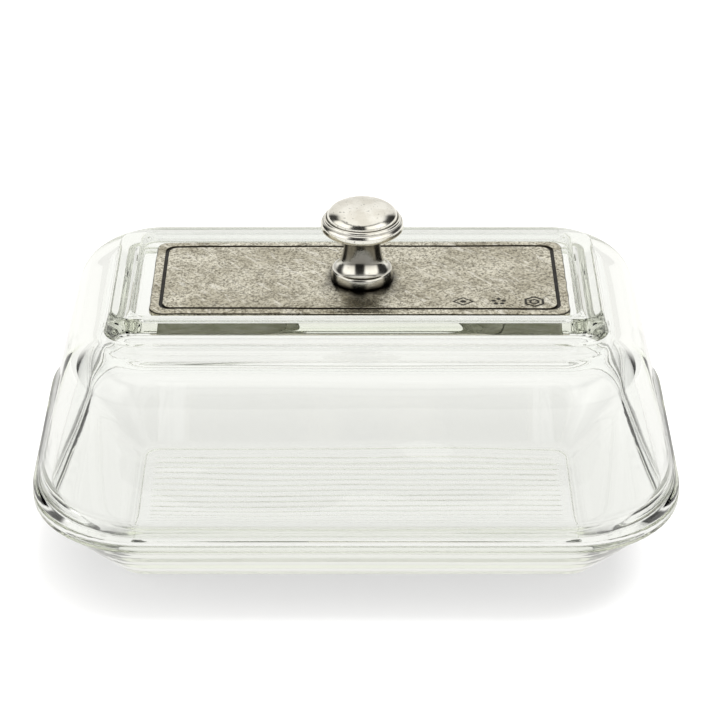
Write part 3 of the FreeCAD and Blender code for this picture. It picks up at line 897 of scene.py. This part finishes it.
def add_world():
    """A white studio: bright above and behind, dark behind the camera between two soft boxes. The
    camera itself sees plain white."""
    world = bpy.data.worlds.new("studio")
    bpy.context.scene.world = world
    world.use_nodes = True
    nodes = Nodes(world.node_tree)
    direction = nodes.add("ShaderNodeTexCoord").outputs["Generated"]
    axes = nodes.add("ShaderNodeSeparateXYZ", inputs={"Vector": direction})
    x, y, z = axes.outputs
    height = nodes.math("ARCSINE", z)
    heading = nodes.math("ARCTAN2", x, nodes.math("MULTIPLY", y, -1.0))

    def band(value, span, soft):
        low, high, soft = math.radians(span[0]), math.radians(span[1]), math.radians(soft)
        rise = nodes.ramp(value, low - soft / 2, low + soft / 2)
        fall = nodes.ramp(value, high - soft / 2, high + soft / 2, 1.0, 0.0)
        return nodes.math("MULTIPLY", rise, fall)

    light = nodes.ramp(height, math.radians(5), math.radians(70), BACK_LEVEL, ROOF_LEVEL)
    for headings, heights, soft, level in STUDIO:
        patch = nodes.math("MULTIPLY", band(heading, headings, soft), band(height, heights, soft))
        rest = nodes.math("MULTIPLY", light, nodes.math("SUBTRACT", 1.0, patch))
        light = nodes.math("ADD", rest, nodes.math("MULTIPLY", patch, level))
    path = nodes.add("ShaderNodeLightPath")
    extra = nodes.math("MULTIPLY", path.outputs["Is Diffuse Ray"], DIFFUSE_GAIN - 1.0)
    gain = nodes.math("ADD", 1.0, extra)
    light = nodes.math("MULTIPLY", light, gain)
    tinted = nodes.add("ShaderNodeMix", data_type="RGBA", blend_type="MULTIPLY")
    nodes.set(tinted.inputs[0], 1.0)
    nodes.set(tinted.inputs[6], (1.0, 0.992, 0.965, 1))
    nodes.set(tinted.inputs[7], light)
    shown = nodes.mix(path.outputs["Is Camera Ray"], tinted.outputs[2], (1.0, 1.0, 1.0, 1))
    background = nodes.add("ShaderNodeBackground", inputs={"Color": shown, "Strength": 1.0})
    nodes.add("ShaderNodeOutputWorld", inputs={"Surface": background.outputs[0]})


def add_key_light():
    """A large soft box overhead, to the right and a little behind the dish. It is hidden from
    reflections and from rays through glass, where it leaves white flecks."""
    data = bpy.data.lights.new("overhead_softbox", "AREA")
    data.shape = "RECTANGLE"
    data.size, data.size_y = KEY_SIZE
    data.energy = KEY_POWER
    light = bpy.data.objects.new("overhead_softbox", data)
    light.location = KEY_PLACE
    light.rotation_euler = (0.0, math.atan2(KEY_PLACE[0], KEY_PLACE[2]), 0.0)
    light.visible_glossy = False
    light.visible_transmission = False
    bpy.context.scene.collection.objects.link(light)


def add_camera():
    pitch = math.radians(29.4)
    distance = 0.7818
    target = Vector((0.0001, 0.0, 0.0521))
    data = bpy.data.cameras.new("camera")
    data.sensor_width = 36.0
    data.lens = 135.87
    data.clip_start = 0.02
    camera = bpy.data.objects.new("camera", data)
    camera.location = target + Vector((0.0, -math.cos(pitch), math.sin(pitch))) * distance
    camera.rotation_euler = (math.pi / 2 - pitch, 0.0, 0.0)
    bpy.context.scene.collection.objects.link(camera)
    bpy.context.scene.camera = camera


def set_light_paths():
    """Enough bounces for light to pass through the cover and the dish, twice each."""
    scene = bpy.context.scene
    scene.view_settings.view_transform = "Standard"
    scene.cycles.max_bounces = 32
    scene.cycles.transmission_bounces = 32
    scene.cycles.glossy_bounces = 12
    scene.cycles.diffuse_bounces = 5
    scene.cycles.caustics_reflective = False
    scene.cycles.caustics_refractive = True


# ---------------------------------------------------------------- the object

def dress(piece, material):
    piece.data.materials.clear()
    piece.data.materials.append(material)


def place(piece, body, node, material):
    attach(piece, body)
    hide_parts(node)
    dress(piece, material)


def dress_node(node, material):
    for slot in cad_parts[node].material_slots:
        slot.material = material


glass = glass_material()
place(make_dish(), "dish", "base_dish", glass)
place(make_cover(), "cover", "glass_cover", glass)
place(make_plate(), "cover", "top_plate", plate_material())
place(make_knob(), "cover", "knob", knob_material())
bond = bond_material()
place(make_bond("bond_left", left_bond, -1), "cover", "left_adhesive", bond)
place(make_bond("bond_right", right_bond, 1), "cover", "right_adhesive", bond)
dress_node("knob_screw", screw_material())

add_floor()
add_world()
add_key_light()
add_camera()
set_light_paths()
